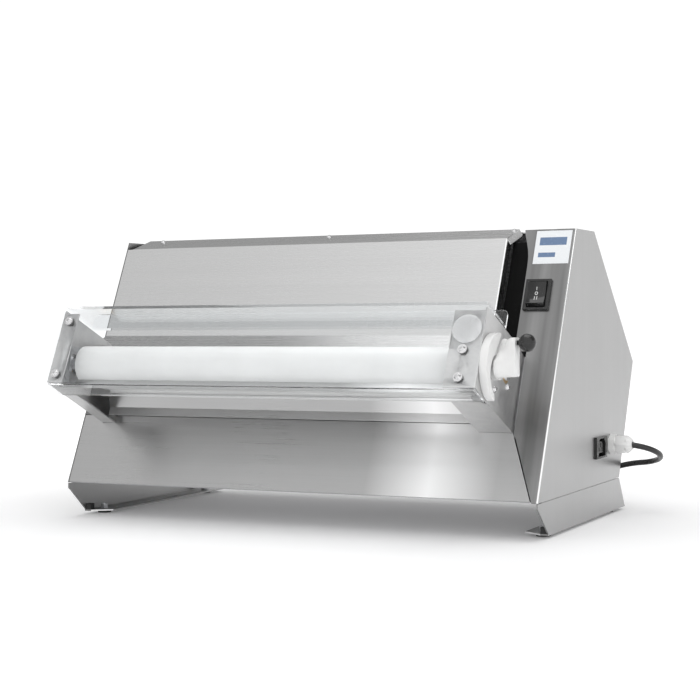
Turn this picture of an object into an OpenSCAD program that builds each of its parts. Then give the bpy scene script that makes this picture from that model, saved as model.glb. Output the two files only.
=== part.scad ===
// Counter-top dough sheeter with one pair of rollers
// Own frame: X across the machine, +Y to its back, +Z up.  Millimetres.
// Origin: on the standing surface, under the middle of the machine's overall box.
// "Leaned" frame: x as above, y into the body square to the sloping front, z up the front.

/* [Body] */
// Overall width of the steel body
body_w = 700; // [500:10:900]
// Height of the top edge of the side panels above the standing surface
body_h = 396; // [320:1:480]
// Height of the underside of the body above the standing surface
base_z = 49; // [35:1:80]
// Lean of the front panels from upright, in degrees
lean_deg = 25; // [15:1:35]
// Thickness of the body sheet
sheet_t = 1.5; // [1:0.1:2.5]
// Outer radius of the folds in the body sheet
fold_r = 2.4; // [1.6:0.1:4]
// Height of the rubber feet below the foot rails
pad_h = 4; // [3:0.5:8]

/* [Controls] */
// Width of the control strip on the front of the right side
strip_w = 60; // [50:1:80]
// Side of the square blank label
label_side = 49; // [30:1:55]

/* [Rollers] */
// Diameter of both rollers
roller_d = 52; // [40:1:60]
// Gap between the rollers at the thinnest setting
roller_gap = 0.6; // [0.4:0.1:1.5]
// Travel of the front roller from the thinnest to the thickest setting
travel = 3.4; // [2:0.1:4]
// Diameter of the rear roller's axle
axle_d = 16; // [12:1:20]
// Outer diameter of the tube that carries the front roller
tube_d = 24; // [20:1:28]
// Diameter of the thickness adjuster's shaft
shaft_d = 10; // [8:1:12]

/* [Gears] */
// Gear module
gear_m = 2.5; // [2:0.5:3]
// Teeth on each roller gear
roller_teeth = 21; // [20:1:24]
// Teeth on the idler gear
idler_teeth = 34; // [28:1:40]
// Teeth on the motor pinion
pinion_teeth = 18; // [17:1:24]
// Face width of the gears
gear_w = 11; // [8:1:14]

/* [Guard] */
// Thickness of the clear guard
guard_t = 3; // [2:0.5:5]
// Thickness of the roller brackets
bracket_t = 2; // [2:0.5:4]

/* [Mains] */
// Diameter of the mains cord
cord_d = 8; // [6:0.5:9]

/* [Nodes] */
// Sub-part to draw

/* [Hidden] */
$fn = 48;
hw = body_w / 2;
front_y = -219;
t = sheet_t;
face_l = (body_h - base_z) / cos(lean_deg);
top_y = front_y + face_l * sin(lean_deg);
back_top = [26, body_h];
back_mid = [221, 214];
back_low = [145, base_z];
// roller brackets, outer faces
br_r = hw - 46;
br_l = -hw + 34;
br_lo = 92;
br_hi = 201.5;
br_out = 146;
frame_fix = [[22, 112], [22, 190]];
// clear guard
gd_front = br_out + guard_t;
gd_lo = 88;
gd_hi = 205;
gd_back = 76;
// roller centres in the leaned frame [y, z]
c_front = [-104, 136.5];
pair_deg = 15;
pair = [cos(pair_deg), sin(pair_deg)];
c_rear = c_front + (roller_d + roller_gap) * pair;
// the adjuster's cams sit 45 degrees past the line of centres at rest and turn 90 degrees
cam_off = travel / sqrt(2);
c_pivot = c_front - cam_off * cos(45) * pair;
c_cam = c_pivot + cam_off * [cos(pair_deg + 45), sin(pair_deg + 45)];
cam_d = 18;
block_t = 6;
c_idler = c_rear + (gear_m * (roller_teeth + idler_teeth) / 2 + 0.1) * [cos(8), sin(8)];
c_motor = c_idler + (gear_m * (pinion_teeth + idler_teeth) / 2 + 0.1) * [cos(-12), sin(-12)];
// roller ends
ro_l = -hw + 58;
ro_r = hw - 70;
// gear plane
gx0 = hw - 66;
gx1 = gx0 + gear_w;
// hub of the adjuster
knob_z = 30.6;
plate_x1 = br_r + 10.6;
hub_x0 = plate_x1 + 0.3;
hub_x1 = br_r + 34;
// hood
hood_r = 256;
hood_l = -hw + t + 0.2;
hood_lo = 228;
// height of the underside of the lip at the hood's lower edge
lip_s = 200;
hood_hi = 371;
// control strip
st_l = hw - strip_w;
sw_c = [hw - 39.5, 285.3];
lab_c = [hw - 28.6, 355.8];
// rocker pivot below the strip surface, the key's width and height, and the depth and radius of its face
rk_y = 1;
key_w = 24.6;
key_h = 37;
key_face = 7;
key_hollow = 36;
// side socket and cord gland
gl_y = 101;
gl_z = 100;
gl_x1 = hw + 32;
so_y = 47;
so_z = 99;
// feet
foot_x = hw - 15.5;
foot_y = [-151, 133];

// ---------- helpers ----------
module leaned() {
  translate([0, front_y, base_z]) rotate([-lean_deg, 0, 0]) children();
}
module along_x(x0, x1) {
  translate([x0, 0, 0]) rotate([90, 0, 90]) linear_extrude(x1 - x0) children();
}
module run2(a, b, w) {
  d = b - a;
  n = [-d[1], d[0]] * (w / 2 / norm(d));
  polygon([a + n, b + n, b - n, a - n]);
}
function unit2(a) = a / norm(a);
function left_of(a, b) = let (d = unit2(b - a)) [-d[1], d[0]];
function mitre(p, i) = i == 0 ? left_of(p[0], p[1])
  : i == len(p) - 1 ? left_of(p[i - 1], p[i])
  : let (n = left_of(p[i - 1], p[i]), q = left_of(p[i], p[i + 1]), m = unit2(n + q)) m / (m * n);
// bent sheet of thickness w along a line of points, with mitred corners
module path2(p, w) {
  polygon(concat([for (i = [0 : len(p) - 1]) p[i] + mitre(p, i) * w / 2],
    [for (i = [len(p) - 1 : -1 : 0]) p[i] - mitre(p, i) * w / 2]));
}
module rod_x(x0, x1, d) {
  translate([x0, 0, 0]) rotate([0, 90, 0]) cylinder(d = d, h = x1 - x0);
}
module at_c(c) {
  translate([0, c[0], c[1]]) children();
}
// button head screw along local +z, head up at z = 0, shank below
module screw(head_d, head_h, shank_d, len) {
  difference() {
    cylinder(d1 = head_d, d2 = head_d * 0.55, h = head_h);
    translate([0, 0, head_h * 0.45]) cylinder(d = head_d * 0.36, h = head_h, $fn = 6);
  }
  translate([0, 0, -len]) cylinder(d = shank_d, h = len);
}
function invol(a) = tan(a) * 180 / PI - a;
function flank(r, rb) = r <= rb ? 0 : invol(acos(rb / r));
module gear2(z, play) {
  rp = gear_m * z / 2;
  rb = rp * cos(20);
  ra = rp + gear_m * 0.92;
  rr = rp - gear_m * 1.25;
  half = 90 / z + invol(20) - play;
  rs = [rr, rb, rb + (ra - rb) * 0.3, rb + (ra - rb) * 0.55, rb + (ra - rb) * 0.8, ra];
  polygon([for (k = [0 : z - 1]) each concat(
    [for (r = rs) r * [cos(k * 360 / z - half + flank(r, rb)), sin(k * 360 / z - half + flank(r, rb))]],
    [for (i = [5 : -1 : 0]) rs[i] * [cos(k * 360 / z + half - flank(rs[i], rb)),
      sin(k * 360 / z + half - flank(rs[i], rb))]])]);
}
module gear(c, z, turn, bore, x0, x1) {
  at_c(c) along_x(x0, x1) difference() {
    rotate(turn) gear2(z, 0.35 * 21 / z);
    circle(d = bore);
  }
}
// cutter that rounds the outside of a 90 degree fold running up z from z0 to z1, corner at the origin,
// sheet towards +y and towards the side sx of x
module fold_cut(sx, z0, z1) {
  scale([sx, 1, 1]) translate([0, 0, z0]) linear_extrude(z1 - z0) difference() {
    translate([-1, -1]) square(fold_r + 1);
    translate([fold_r, fold_r]) circle(r = fold_r);
  }
}
module side_outline() {
  polygon([[front_y, base_z], [top_y, body_h], back_top, back_mid, back_low]);
}

// ---------- body ----------
module left_side_panel() {
  color("silver") {
    along_x(-hw, -hw + t) side_outline();
    leaned() translate([-hw + 0.1, 0, 104]) cube([32, t, lip_s - 105.5]);
    leaned() translate([-hw + 0.1, 1.6, 6]) cube([14, t, lip_s - 7.5]);
    leaned() translate([-hw + 0.1, 1.6, lip_s + 1.5]) cube([14, t, hood_hi - lip_s - 4]);
    translate([-hw + 0.1, -18, body_h - t]) cube([16, 32, t]);
    translate([-hw + 0.1, front_y + 12, base_z + t + 0.1]) cube([18, 340, t]);
  }
}
// the strip's left edge flares towards the hood at its top
flare = 10.5;
strip_edge = [[st_l, 205], [st_l, 330], [st_l - 0.6, 342], [st_l - 2.4, 353], [st_l - 5.4, 364],
  [st_l - 8.6, 374], [st_l - flare, face_l]];
strip_flange = [for (i = [0 : len(strip_edge) - 2]) strip_edge[i] + [t / 2, i == 0 ? 7 : 0]];
module right_side_panel() {
  color("silver") difference() {
    union() {
      along_x(hw - t, hw) side_outline();
      leaned() translate([0, t, 0]) rotate([90, 0, 0]) linear_extrude(t)
        polygon(concat(strip_edge, [[hw - 0.1, face_l], [hw - 0.1, 0], [hw - 8.5, 0],
          [hw - 43.6, 91.5], [hw - 43.6, 205]]));
      leaned() translate([0, 18, 0]) rotate([90, 0, 0]) linear_extrude(18) path2(strip_flange, t);
      translate([st_l - flare + 1, top_y - 0.6, body_h - t]) cube([strip_w + flare - 1.1, 26 - top_y - 2, t]);
      translate([hw - 18, front_y + 30, base_z + t + 0.1]) cube([17.9, 320, t]);
    }
    leaned() translate([hw, 0, 0]) fold_cut(-1, -20, face_l + 20);
    leaned() translate([sw_c[0] - 14.8, -5, sw_c[1] - 20.8]) cube([29.6, 12, 41.6]);
    translate([hw - 10, so_y - 20, so_z - 13.5]) cube([20, 40, 27]);
    translate([hw - 10, gl_y, gl_z]) rotate([0, 90, 0]) cylinder(d = 20.4, h = 20);
  }
}
module hood() {
  color("gainsboro") difference() {
    leaned() {
      along_x(hood_l + 8, hood_r) path2(concat(hood_low, [[0.75, hood_hi], band_tip]), t);
      along_x(hood_l, hood_l + 8) path2(concat(hood_low, [[0.75, hood_hi]]), t);
      translate([hood_r - t, 0.75, 232]) cube([t, 16, hood_hi - 233]);
      band_end();
    }
    leaned() translate([hood_r, 0, 0]) fold_cut(-1, 232, hood_hi - 1);
    for (x = hood_fix_x) hood_screw_at(x) translate([0, 0, -20]) cylinder(d = 5, h = 40);
  }
}
// end of the band, turned down and outwards beside the drive cover
band_drop = 9;
drop_deg = 28;
module band_end() {
  run = band_tip - [0.75, hood_hi];
  translate([hood_r, 0.75, hood_hi]) rotate([atan2(run[1], run[0]), 0, 0]) rotate([0, -drop_deg, 0])
    translate([-t, 0.4, -band_drop]) cube([t, norm(run) - 0.8, band_drop]);
}
hood_fix_x = [-hw + 38, -31, hood_r - 5];
hood_low = [[22, lip_s], [-24, lip_s], [0.75, hood_lo]];
// point on the front at leaned height s, at depth y under the surface
function lean_pt(y, s) = [front_y + y * cos(lean_deg) + s * sin(lean_deg),
  base_z - y * sin(lean_deg) + s * cos(lean_deg)];
// leaned coordinates of a point given across and up
function to_lean(a, b) = [(a - front_y) * cos(lean_deg) - (b - base_z) * sin(lean_deg),
  (a - front_y) * sin(lean_deg) + (b - base_z) * cos(lean_deg)];
band_a = lean_pt(0.75, hood_hi);
band_b = [-12, body_h + 3.4];
band_tip = to_lean(band_b[0], band_b[1]);
band_deg = atan2(band_b[1] - band_a[1], band_b[0] - band_a[0]);
module hood_screw_at(x) {
  translate([x, band_b[0] - 9 * cos(band_deg), band_b[1] - 9 * sin(band_deg)])
    rotate([band_deg, 0, 0]) translate([0, 0, t / 2]) children();
}
module hood_screws() {
  color("dimgray") for (x = hood_fix_x) hood_screw_at(x) screw(7, 2.4, 4.4, 9);
}
module top_brace() {
  color("gray") difference() {
    along_x(-hw + 18, hood_r - t - 0.3) translate(-1.7 * [-sin(band_deg), cos(band_deg)])
      path2([band_a + 24 * [cos(band_deg), sin(band_deg)], band_b - [1, 0.3], band_b - [1, 18]], t);
    for (x = hood_fix_x) hood_screw_at(x) translate([0, 0, -20]) cylinder(d = 5, h = 40);
  }
}
module chute_panel() {
  color("gainsboro") difference() {
    chute_sheet();
    leaned() translate([br_l - 0.3, -1, br_lo - 0.3]) cube([bracket_t + 0.6, 20, 20]);
  }
}
module chute_sheet() {
  leaned() translate([0, t, 0]) rotate([90, 0, 0]) linear_extrude(t)
    polygon([[hood_l, 1.6], [hood_l, 103], [br_r - 3, 103], [br_r - 3, 91.8], [br_r + 0.2, 91.8],
      [hw - 10.6, 1.6]]);
  leaned() translate([br_l + 3, 0.1, 101.5]) cube([br_r - br_l - 7, 12, t]);
  translate([hood_l + 18, front_y + 1.5, base_z + t + 0.1]) cube([body_w - 60, 22, t]);
}
module rear_cover() {
  color("gainsboro") difference() {
    along_x(-hw + t + 0.2, hw - t - 0.2)
      path2([[-8, body_h - 0.8], [back_top[0] - 0.4, body_h - 0.8], [back_mid[0] - 1.1, back_mid[1] + 0.1],
        [back_low[0] - 0.9, base_z + 3.2]], t);
    for (x = [-150 : 30 : 150]) vent_at(x);
    for (x = [-hw + 12, hw - 12]) for (s = [60, 200])
      cover_screw_at(x, s) cylinder(d = 5, h = 20, center = true);
    translate([st_l - flare - 1, -60, body_h - 5]) cube([strip_w + flare + 2, 84, 9]);
    translate([-hw - 1, -60, body_h - 5]) cube([19, 83, 9]);
  }
}
slope_deg = atan2(back_mid[1] - back_top[1], back_mid[0] - back_top[0]);
module cover_screw_at(x, s) {
  translate([x, back_top[0] + s * cos(slope_deg), back_top[1] + s * sin(slope_deg)])
    rotate([slope_deg, 0, 0]) children();
}
module vent_at(x) {
  cover_screw_at(x, 205) translate([-4, -30, -6]) cube([8, 60, 12]);
}
module cover_screws() {
  color("dimgray") for (x = [-hw + 12, hw - 12]) for (s = [60, 200])
    cover_screw_at(x, s) translate([0, 0, 0.3]) screw(8, 2.4, 4, 9);
}
module base_plate() {
  color("gray") difference() {
    translate([-hw + t + 0.2, front_y + 3.4, base_z]) cube([body_w - 2 * t - 0.4, 360, t]);
    for (x = [-1, 1]) for (y = [-120, 90]) translate([x * (hw - 20), y, base_z - 5]) cylinder(d = 5, h = 20);
    for (x = [20 : 14 : 132]) translate([x, -30, base_z - 5]) cube([6, 70, 20]);
  }
}

// ---------- feet ----------
// seam between a side panel and its foot rail
rail_gap = 1.1;
module foot_rail_r() {
  along_x(hw - 2, hw) polygon([[front_y + 0.6, base_z - rail_gap], [front_y + 0.6, base_z - 8],
    [front_y + 6, base_z - 12], [-175, pad_h], [175, pad_h], [back_low[0], base_z - rail_gap]]);
  difference() {
    translate([0, 0, pad_h]) linear_extrude(2)
      polygon([[hw - 0.1, -178], [hw - 10.6, -178], [hw - 37, -160], [hw - 37, 158], [hw - 0.1, 175]]);
    for (y = foot_y) translate([foot_x, y, -1]) cylinder(d = 6.4, h = 20);
    for (y = [-130, 100]) translate([hw - 24, y, -1]) cylinder(d = 4.2, h = 20);
    translate([hw - 30, -60, -1]) cube([6, 90, 20]);
  }
  translate([hw - 30, front_y + 20, base_z - 2.1]) cube([29, 330, 2]);
}
module left_foot_rail() {
  color("silver") mirror([1, 0, 0]) foot_rail_r();
}
module right_foot_rail() {
  color("silver") foot_rail_r();
}
module rubber_feet() {
  color("#222222") for (x = [-foot_x, foot_x]) for (y = foot_y) translate([x, y, 0]) difference() {
    cylinder(d = 19, h = pad_h);
    translate([0, 0, pad_h - 2]) cylinder(d = 10.4, h = 3);
  }
}
module foot_bolts() {
  color("gray") for (x = [-foot_x, foot_x]) for (y = foot_y) translate([x, y, 0]) {
    translate([0, 0, pad_h - 2]) cylinder(d = 10.4, h = 2);
    translate([0, 0, pad_h - 1]) cylinder(d = 6, h = 10.5);
    translate([0, 0, pad_h + 2]) cylinder(d = 11, h = 6.5, $fn = 6);
  }
}
module foot_bumpers() {
  color("#222222") for (s = [-1, 1]) translate([s * (hw - 6.3), -174, pad_h + 2]) difference() {
    translate([-4.3, -4, 0]) cube([8.6, 9, 8.6]);
    translate([0, 0.5, 5]) cylinder(d = 3.4, h = 10);
  }
}

// ---------- inner frame and brackets ----------
module frame_plate(x0, toe_x) {
  along_x(x0, x0 + 3) polygon([[-190, base_z + t], lean_pt(3.4, 30), lean_pt(3.4, lip_s - 1.5),
    lean_pt(29, lip_s - 1.5), lean_pt(29, 240), lean_pt(60, 262), [10, 290], [60, base_z + t]]);
  translate([toe_x, -180, base_z + t]) cube([15, 220, 3]);
}
module frame_holes(x0) {
  leaned() along_x(x0 - 1, x0 + 4) {
    for (p = frame_fix) translate(p) circle(d = 6.4);
    translate([100, 100]) circle(d = 20);
  }
}
module left_frame_plate() {
  color("gray") difference() {
    frame_plate(br_l - 3, br_l - 15);
    frame_holes(br_l - 3);
  }
}
module right_frame_plate() {
  color("gray") difference() {
    frame_plate(br_r, br_r);
    frame_holes(br_r);
    leaned() along_x(br_r - 1, br_r + 4) {
      translate(c_idler) circle(d = 12);
      translate(c_motor) circle(d = 22);
    }
  }
}
module bracket_outline(low) {
  polygon([[40, low], [40, lip_s - 1.2], [-27, lip_s - 1.2], [-27, br_hi], [-br_out, br_hi - 2],
    [-br_out, br_lo + 1], [-103, br_lo], [2, br_lo], [2, 104.6], [30, 104.6]]);
}
module bracket_holes2() {
  for (p = frame_fix) translate(p) circle(d = 6.4);
  translate(c_rear) circle(d = 24);
  translate(c_pivot) circle(d = 20);
}
module left_bracket() {
  color("silver") difference() {
    leaned() {
      along_x(br_l, br_l + bracket_t) difference() {
        bracket_outline(br_lo + 6);
        bracket_holes2();
      }
      translate([br_l, -br_out, br_lo + 1]) cube([23.8, bracket_t, 102]);
      translate([br_l, -103, br_lo]) cube([21, 102.5, bracket_t]);
    }
    guard_sites(guard_fix_l) cylinder(d = 5.4, h = 30, center = true);
  }
}
module right_bracket() {
  color("silver") difference() {
    leaned() {
      along_x(br_r - bracket_t, br_r) difference() {
        bracket_outline(br_lo + 14);
        bracket_holes2();
        translate(c_idler) circle(d = 12);
      }
      translate([br_r - 42, -br_out, br_lo + 1]) cube([42, bracket_t, 102]);
      translate([0, 0, br_lo]) linear_extrude(bracket_t)
        polygon([[br_r - 46.5, -103], [br_r - 9, -103], [br_r, -94], [br_r, -0.5], [br_r - 46.5, -0.5]]);
    }
    guard_sites(guard_fix_r) cylinder(d = 5.4, h = 30, center = true);
  }
}
// guard fixing points [x, s], z pointing out of the guard face
guard_fix_l = [[br_l + 12, 183], [br_l + 12, 105]];
guard_fix_r = [[br_r - 23, 142], [br_r - 23, 105]];
module guard_sites(list) {
  for (p = list) leaned() translate([p[0], -br_out, p[1]]) rotate([90, 0, 0]) children();
}
module guard_screws() {
  color("silver") guard_sites(concat(guard_fix_l, guard_fix_r)) {
    translate([0, 0, guard_t]) difference() {
      cylinder(d = 12, h = 1.2);
      cylinder(d = 4, h = 3);
    }
    translate([0, 0, guard_t + 1.2]) screw(8.6, 3, 5, guard_t + bracket_t + 7);
    translate([0, 0, -bracket_t - 4]) cylinder(d = 9, h = 4, $fn = 6);
  }
}
module clear_guard() {
  color("lightblue", 0.4) difference() {
    leaned() along_x(br_l, br_r) {
      path2([[-112, gd_lo + guard_t / 2], [-gd_front + guard_t / 2, gd_lo + guard_t / 2],
        [-gd_front + guard_t / 2, gd_hi - guard_t / 2], [-gd_back - guard_t / 2, gd_hi - guard_t / 2],
        [-gd_back - guard_t / 2, gd_hi + 22]], guard_t);
    }
    leaned() for (x = [br_l, br_r]) translate([x, -gd_back - 10, gd_hi + 22]) rotate([-90, 0, 0])
      difference() {
        translate([-7, -7, 0]) cube([14, 14, 20]);
        translate([x < 0 ? 7 : -7, 7, -1]) cylinder(d = 14, h = 30);
      }
    guard_sites(concat(guard_fix_l, guard_fix_r)) cylinder(d = 5.4, h = 30, center = true);
  }
}
module blank_disc() {
  color("white") leaned() translate([br_r - 21.3, -gd_front, 169]) rotate([90, 0, 0])
    cylinder(d = 38, h = 0.6);
}
module bracket_screws() {
  color("gray") leaned() {
    for (p = frame_fix) {
      translate([br_r - bracket_t, p[0], p[1]]) rotate([0, -90, 0]) screw(10, 3.2, 6, 9);
      translate([br_l + bracket_t, p[0], p[1]]) rotate([0, 90, 0]) screw(10, 3.2, 6, 9);
    }
    for (p = [[-42, 137], [-84, 117]]) {
      translate([br_r + 0.01, p[0], p[1]]) rotate([0, 90, 0]) screw(9, 3, 1.6, 0.01);
    }
  }
}
module exit_deflector() {
  color("silver") leaned() along_x(br_l + 21.5, br_r - 47)
    path2([[14, 104.6], [0, 104.6], [-20, 97], leg_a, leg_b], t);
}
// the rear roller's blade lies on the last leg of the deflector
leg_a = [-21, 108];
leg_b = [-34, 125];
leg = unit2(leg_b - leg_a);
blade_off = 2.1 * [leg[1], -leg[0]];
module rear_scraper() {
  color("white") leaned() along_x(br_l + 24, br_r - 49)
    run2(leg_a + blade_off + 5 * leg, leg_a + blade_off + 26 * leg, 2);
}
// strip between the brackets, with a blade under the front roller only
module front_scraper() {
  color("silver") leaned() {
    along_x(br_l + bracket_t, br_r - bracket_t) run2([-118, 98], [-118, 104], 1.2);
    along_x(ro_l + 2, ro_r - 2) path2([[-118, 103], [-118, 105], [-116, 109.4]], 1.2);
  }
}
module drive_cover() {
  color("#111111") leaned() {
    translate([hood_r + 0.5, 24, 212]) cube([st_l - hood_r - 0.6, 2, 165]);
    translate([hood_r + 0.5, 26, 212]) cube([2, 20, 150]);
  }
}

// ---------- rollers ----------
module front_roller() {
  color("white") leaned() at_c(c_front) difference() {
    rod_x(ro_l, ro_r, roller_d);
    rod_x(ro_l - 1, ro_r + 1, tube_d + 0.1);
  }
}
module front_roller_gear() {
  color("ivory") leaned() {
    gear(c_front, roller_teeth, pair_deg, tube_d + 0.1, gx0, gx1);
    at_c(c_front) difference() {
      rod_x(ro_r, gx0, 36);
      rod_x(ro_r - 1, gx0 + 1, tube_d + 0.1);
    }
  }
}
module rear_roller() {
  color("white") leaned() at_c(c_rear) difference() {
    rod_x(ro_l, ro_r, roller_d);
    rod_x(ro_l - 1, ro_r + 1, axle_d);
  }
}
module rear_roller_gear() {
  color("ivory") leaned() {
    gear(c_rear, roller_teeth, rear_turn, axle_d, gx0, gx1);
    at_c(c_rear) difference() {
      rod_x(ro_r, gx0, 36);
      rod_x(ro_r - 1, gx0 + 1, axle_d);
    }
  }
}
module rear_roller_axle() {
  color("gray") leaned() at_c(c_rear) rod_x(br_l - 3, br_r + 3, axle_d);
}
module bush(c, x0, x1, out_d, in_d) {
  at_c(c) difference() {
    rod_x(x0, x1, out_d);
    rod_x(x0 - 1, x1 + 1, in_d + 0.1);
  }
}
module roller_bushes() {
  color("tan") leaned() {
    bush(c_rear, br_l, br_l + bracket_t, 24, axle_d);
    bush(c_rear, br_l + bracket_t, br_l + bracket_t + 12, 34, axle_d);
    bush(c_rear, br_r - bracket_t, br_r, 24, axle_d);
    bush(c_rear, br_r - bracket_t - 3.5, br_r - bracket_t, 34, axle_d);
    bush(c_pivot, br_l - 4, br_l + bracket_t, 20, shaft_d);
    bush(c_pivot, br_r - bracket_t, br_r + 3, 20, shaft_d);
  }
}
// sliding block that the cam moves, its x range given
module axle_block(x0) {
  at_c(c_front) rotate([pair_deg, 0, 0]) difference() {
    translate([x0, -15.2, -20]) cube([block_t, 30.4, 40]);
    translate([x0 - 1, -cam_d / 2 - 0.2, -14]) cube([block_t + 2, cam_d + 0.4, 28]);
  }
}
bl_l = br_l + bracket_t + 0.5;
bl_r = br_r - bracket_t - 0.4 - block_t;
module axle_blocks() {
  color("gray") leaned() {
    axle_block(bl_l);
    axle_block(bl_r);
  }
}
module front_axle_tube() {
  color("silver") leaned() at_c(c_front) difference() {
    rod_x(bl_l + block_t, bl_r, tube_d);
    rod_x(bl_l, bl_r + block_t, tube_d - 5);
  }
}
module slide_guides() {
  color("gray") leaned() at_c(c_front) rotate([pair_deg, 0, 0])
    for (x = [br_l + bracket_t, br_r - bracket_t - block_t]) for (z = [-25.2, 20.2])
      translate([x, -14, z]) cube([block_t, 34, 5]);
}
module adjuster_shaft() {
  color("gray") leaned() {
    at_c(c_pivot) rod_x(br_l - 6, hub_x1 - 4, shaft_d);
    at_c(c_cam) rod_x(bl_l + 0.2, bl_l + block_t - 0.2, cam_d);
    at_c(c_cam) rod_x(bl_r + 0.2, bl_r + block_t - 0.2, cam_d);
  }
}

// ---------- thickness adjuster ----------
// frame on the adjuster's axis with z upright
module upright() {
  leaned() at_c(c_pivot) rotate([lean_deg, 0, 0]) children();
}
module index_plate() {
  color("white") upright() along_x(br_r, plate_x1) difference() {
    circle(r = 43, $fn = 96);
    translate([-4, -8]) circle(r = 26, $fn = 96);
    polygon([[-16, 15], [0, 30], [8, 39], [10, 50], [50, 50], [50, -50], [-16.5, -50], [-16.5, -20]]);
  }
}
module adjuster_hub() {
  color("white") upright() difference() {
    union() {
      rod_x(br_r + 3.4, hub_x0 + 1, 30);
      along_x(hub_x0, hub_x0 + 8)
        polygon([[13, 38], [-2, 25], [-14, 14], [-23, 9], [-25, 1], [-23.5, -7], [-16, -12], [10, -12]]);
      along_x(hub_x0 + 8, hub_x1)
        polygon([[-5, -11], [5, -11], [9, -7], [9, 35], [7, 37], [-7, 37], [-9, 35], [-9, -7]]);
    }
    rod_x(br_r, hub_x1 - 4, shaft_d);
    translate([hub_x0 + 12, 0, -14]) cylinder(d = 5.2, h = 10, $fn = 8);
    translate([0, 0, knob_z]) rod_x(hub_x1 - 12, hub_x1 + 1, 6);
  }
}
module adjuster_set_screw() {
  color("#333333") upright() translate([hub_x0 + 12, 0, -10.4]) difference() {
    cylinder(d = 4.6, h = 5.2);
    translate([0, 0, -1]) cylinder(d = 2.6, h = 3.5, $fn = 6);
  }
}
module ball_knob() {
  color("#111111") upright() translate([0, 0, knob_z]) {
    translate([hub_x1 + 12.6, 0, 0]) sphere(d = 22, $fn = 96);
    rod_x(hub_x1 - 12, hub_x1 + 4, 6);
  }
}

// ---------- drive ----------
module idler_gear() {
  color("ivory") leaned() gear(c_idler, idler_teeth, idler_turn, 10.1, gx0, gx1);
}
// turns that put the train in mesh at rest
rear_turn = 180 + pair_deg + 180 / roller_teeth;
rear_off = rear_turn - 8;
rear_frac = rear_off - (360 / roller_teeth) * round(rear_off / (360 / roller_teeth));
idler_mesh = -rear_frac * roller_teeth / idler_teeth;
module idler_pin() {
  color("gray") leaned() at_c(c_idler) {
    rod_x(gx0 - 4, br_r + 6, 10);
    rod_x(gx0 - 7, gx0 - 0.4, 16);
    rod_x(br_r + 3, br_r + 8, 18);
  }
}
module motor_pinion() {
  color("gray") leaned() {
    gear(c_motor, pinion_teeth, 168 + 180 / pinion_teeth + pinion_mesh, 0.1, gx0, gx1);
    at_c(c_motor) rod_x(mot_x1 - 6, gx0 + 1, 15);
    at_c(c_motor) rod_x(gx1 - 1, br_r + 2, 15);
  }
}
idler_turn = 188 + 180 / idler_teeth + idler_mesh;
idler_off = idler_turn + 12;
idler_frac = idler_off - (360 / idler_teeth) * round(idler_off / (360 / idler_teeth));
pinion_mesh = -idler_frac * idler_teeth / pinion_teeth;
// gearmotor
mot_x1 = gx0 - 18;
mot_x0 = mot_x1 - 60;
module gearbox() {
  color("darkgray") leaned() at_c(c_motor) difference() {
    union() {
      rod_x(mot_x0, mot_x1, 96);
      translate([mot_x0, -48, -48]) cube([12, 96, 96]);
    }
    rod_x(mot_x1 - 7, mot_x1 + 1, 15.2);
  }
}
module motor() {
  color("dimgray") leaned() at_c(c_motor) {
    rod_x(mot_x0 - 150, mot_x0, 90);
    for (i = [0 : 11]) rod_x(mot_x0 - 138 + i * 11, mot_x0 - 134 + i * 11, 98);
    rod_x(mot_x0 - 176, mot_x0 - 150, 98);
  }
}
module motor_feet() {
  color("gray") translate([0, 0, base_z + t]) for (x = [mot_x0 - 120, mot_x0 - 30]) {
    translate([x, motor_w[0] - 50, 0]) cube([28, 100, 3]);
    difference() {
      translate([x + 12, motor_w[0] - 44, 3]) cube([4, 88, motor_w[1] - base_z - t - 3]);
      translate([x, motor_w[0], motor_w[1] - base_z - t]) rotate([0, 90, 0]) cylinder(d = 98.6, h = 40);
    }
  }
}
motor_w = lean_pt(c_motor[0], c_motor[1]);
module run_capacitor() {
  color("silver") {
    translate([-40, 60, base_z + t + 22]) rotate([0, 90, 0]) cylinder(d = 40, h = 90);
    translate([-20, 38, base_z + t]) cube([12, 44, 6]);
    translate([50, 54, base_z + t + 20]) cube([8, 3, 6]);
    translate([50, 64, base_z + t + 20]) cube([8, 3, 6]);
  }
}
module terminal_block() {
  color("#333333") translate([hw - 90, 70, base_z + t]) difference() {
    cube([24, 60, 18]);
    for (i = [0 : 4]) translate([12, 7 + i * 11.5, 10]) cylinder(d = 6, h = 20);
  }
}

// ---------- controls ----------
module switch_bezel() {
  color("#111111") leaned() translate([sw_c[0], 0, sw_c[1]]) difference() {
    union() {
      translate([-17.5, -4, -22]) cube([35, 4, 44]);
      translate([-14.6, -0.5, -20.6]) cube([29.2, 3, 41.2]);
    }
    translate([-key_w / 2 - 0.4, -10, -key_h / 2 - 0.4]) cube([key_w + 0.8, 20, key_h + 0.8]);
  }
}
module switch_body() {
  color("#222222") leaned() translate([sw_c[0], 0, sw_c[1]]) difference() {
    translate([-14.6, 2.5, -20.6]) cube([29.2, 26, 41.2]);
    translate([-key_w / 2 - 0.4, 1, -key_h / 2 - 0.4]) cube([key_w + 0.8, 18, key_h + 0.8]);
  }
}
module rocker() {
  color("#181818") leaned() translate([sw_c[0], rk_y, sw_c[1]]) along_x(-key_w / 2, key_w / 2) difference() {
    circle(r = key_h / 2, $fn = 96);
    translate([9, -20]) square([20, 40]);
    translate([-key_face - key_hollow, 0]) circle(r = key_hollow, $fn = 96);
  }
}
module label() {
  color("white") leaned() translate([lab_c[0] - label_side / 2, -0.4, lab_c[1] - label_side / 2])
    cube([label_side, 0.4, label_side]);
}
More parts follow.
